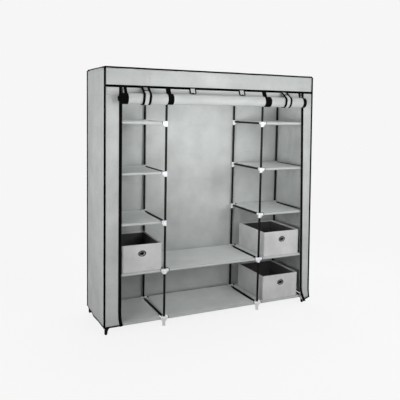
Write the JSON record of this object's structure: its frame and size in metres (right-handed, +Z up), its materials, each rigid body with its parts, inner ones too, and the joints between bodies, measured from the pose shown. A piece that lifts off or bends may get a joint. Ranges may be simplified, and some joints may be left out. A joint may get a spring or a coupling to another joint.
{
  "type": "portable fabric wardrobe",
  "caption": "Free-standing cloth wardrobe on a tube frame: shelf columns beside a hanging bay, open drawers, and a zipped front door rolled up below the valance.",
  "frame": {"origin": "on the floor under the middle of the whole outline", "axes": "+Z up, +X to the right seen from the front, -Y towards the front"},
  "size_m": [1.643, 0.5532, 1.7503],
  "materials": {
    "cover_cloth": "matte",
    "door_cloth": "matte",
    "shelf_cloth": "matte",
    "drawer_cloth": "matte",
    "connector": "satin",
    "tube": "satin",
    "zip_metal": "satin"
  },
  "bodies": {
    "root": {"back_post_inner_left": "tube", "back_post_inner_right": "tube", "back_post_outer_left": "tube", "back_post_outer_right": "tube", "cover_back": "cover_cloth", "cover_left_side": "cover_cloth", "cover_right_side": "cover_cloth", "cover_top": "cover_cloth", "cover_valance": "cover_cloth", "door_strap_left": "door_cloth", "door_strap_right": "door_cloth", "door_web": "door_cloth", "front_post_inner_left": "tube", "front_post_inner_right": "tube", "front_post_outer_left": "tube", "front_post_outer_right": "tube", "front_strip_left": "cover_cloth", "front_strip_right": "cover_cloth", "hanging_rail": "tube", "left_frame_level_1": "connector", "left_frame_level_2": "connector", "left_frame_level_3": "connector", "left_frame_level_4": "connector", "left_frame_level_5": "connector", "left_frame_level_6": "connector", "left_shelf_level_1": "shelf_cloth", "left_shelf_level_2": "shelf_cloth", "left_shelf_level_3": "shelf_cloth", "left_shelf_level_4": "shelf_cloth", "left_shelf_level_5": "shelf_cloth", "middle_back_tube_level_1": "tube", "middle_back_tube_level_2": "tube", "middle_back_tube_level_6": "tube", "middle_front_tube_level_1": "tube", "middle_front_tube_level_2": "tube", "middle_front_tube_level_6": "tube", "middle_shelf_level_1": "shelf_cloth", "middle_shelf_level_2": "shelf_cloth", "right_frame_level_1": "connector", "right_frame_level_2": "connector", "right_frame_level_3": "connector", "right_frame_level_4": "connector", "right_frame_level_5": "connector", "right_frame_level_6": "connector", "right_shelf_level_1": "shelf_cloth", "right_shelf_level_2": "shelf_cloth", "right_shelf_level_3": "shelf_cloth", "right_shelf_level_4": "shelf_cloth", "right_shelf_level_5": "shelf_cloth"},
    "door_body": {"door_roll": "door_cloth"},
    "tie_left_body": {"door_tie_left": "door_cloth"},
    "tie_right_body": {"door_tie_right": "door_cloth"},
    "drawer_left_body": {"drawer_left": "drawer_cloth"},
    "drawer_right_lower_body": {"drawer_right_lower": "drawer_cloth"},
    "drawer_right_upper_body": {"drawer_right_upper": "drawer_cloth"},
    "pull_left_body": {"zip_pull_left": "zip_metal"},
    "pull_right_body": {"zip_pull_right": "zip_metal"},
    "slider_left_body": {"zip_slider_left": "zip_metal"},
    "slider_right_body": {"zip_slider_right": "zip_metal"}
  },
  "joints": [
    {"name": "drawer_left_slide", "type": "slide", "parent": "root", "child": "drawer_left_body", "axis": [0, -1, 0], "range_m": [0, 0.3]},
    {"name": "drawer_right_upper_slide", "type": "slide", "parent": "root", "child": "drawer_right_upper_body", "axis": [0, -1, 0], "range_m": [0, 0.3]},
    {"name": "drawer_right_lower_slide", "type": "slide", "parent": "root", "child": "drawer_right_lower_body", "axis": [0, -1, 0], "range_m": [0, 0.3]},
    {"name": "door_lower", "type": "slide", "parent": "root", "child": "door_body", "axis": [0, 0, 1], "range_m": [-1.45, 0], "deforming": ["door_web", "door_strap_left", "door_strap_right"]},
    {"name": "tie_left_flap", "type": "hinge", "parent": "root", "child": "tie_left_body", "pos_m": [-0.20396, -0.18474, 1.6327], "axis": [-1, 0, 0], "range_deg": [0, 60]},
    {"name": "tie_right_flap", "type": "hinge", "parent": "root", "child": "tie_right_body", "pos_m": [0.17904, -0.18474, 1.6327], "axis": [-1, 0, 0], "range_deg": [0, 60]},
    {"name": "zip_left_slide", "type": "slide", "parent": "root", "child": "slider_left_body", "axis": [0, 0, 1], "range_m": [-1.46, 0]},
    {"name": "zip_left_pull", "type": "hinge", "parent": "slider_left_body", "child": "pull_left_body", "pos_m": [-0.69546, -0.18954, 1.613], "axis": [-1, 0, 0], "range_deg": [0, 90]},
    {"name": "zip_right_slide", "type": "slide", "parent": "root", "child": "slider_right_body", "axis": [-0.0328, 0, 0.9995], "range_m": [-1.46, 0]},
    {"name": "zip_right_pull", "type": "hinge", "parent": "slider_right_body", "child": "pull_right_body", "pos_m": [0.69419, -0.18954, 1.613], "axis": [-0.9995, 0, -0.0328], "range_deg": [0, 90]}
  ]
}
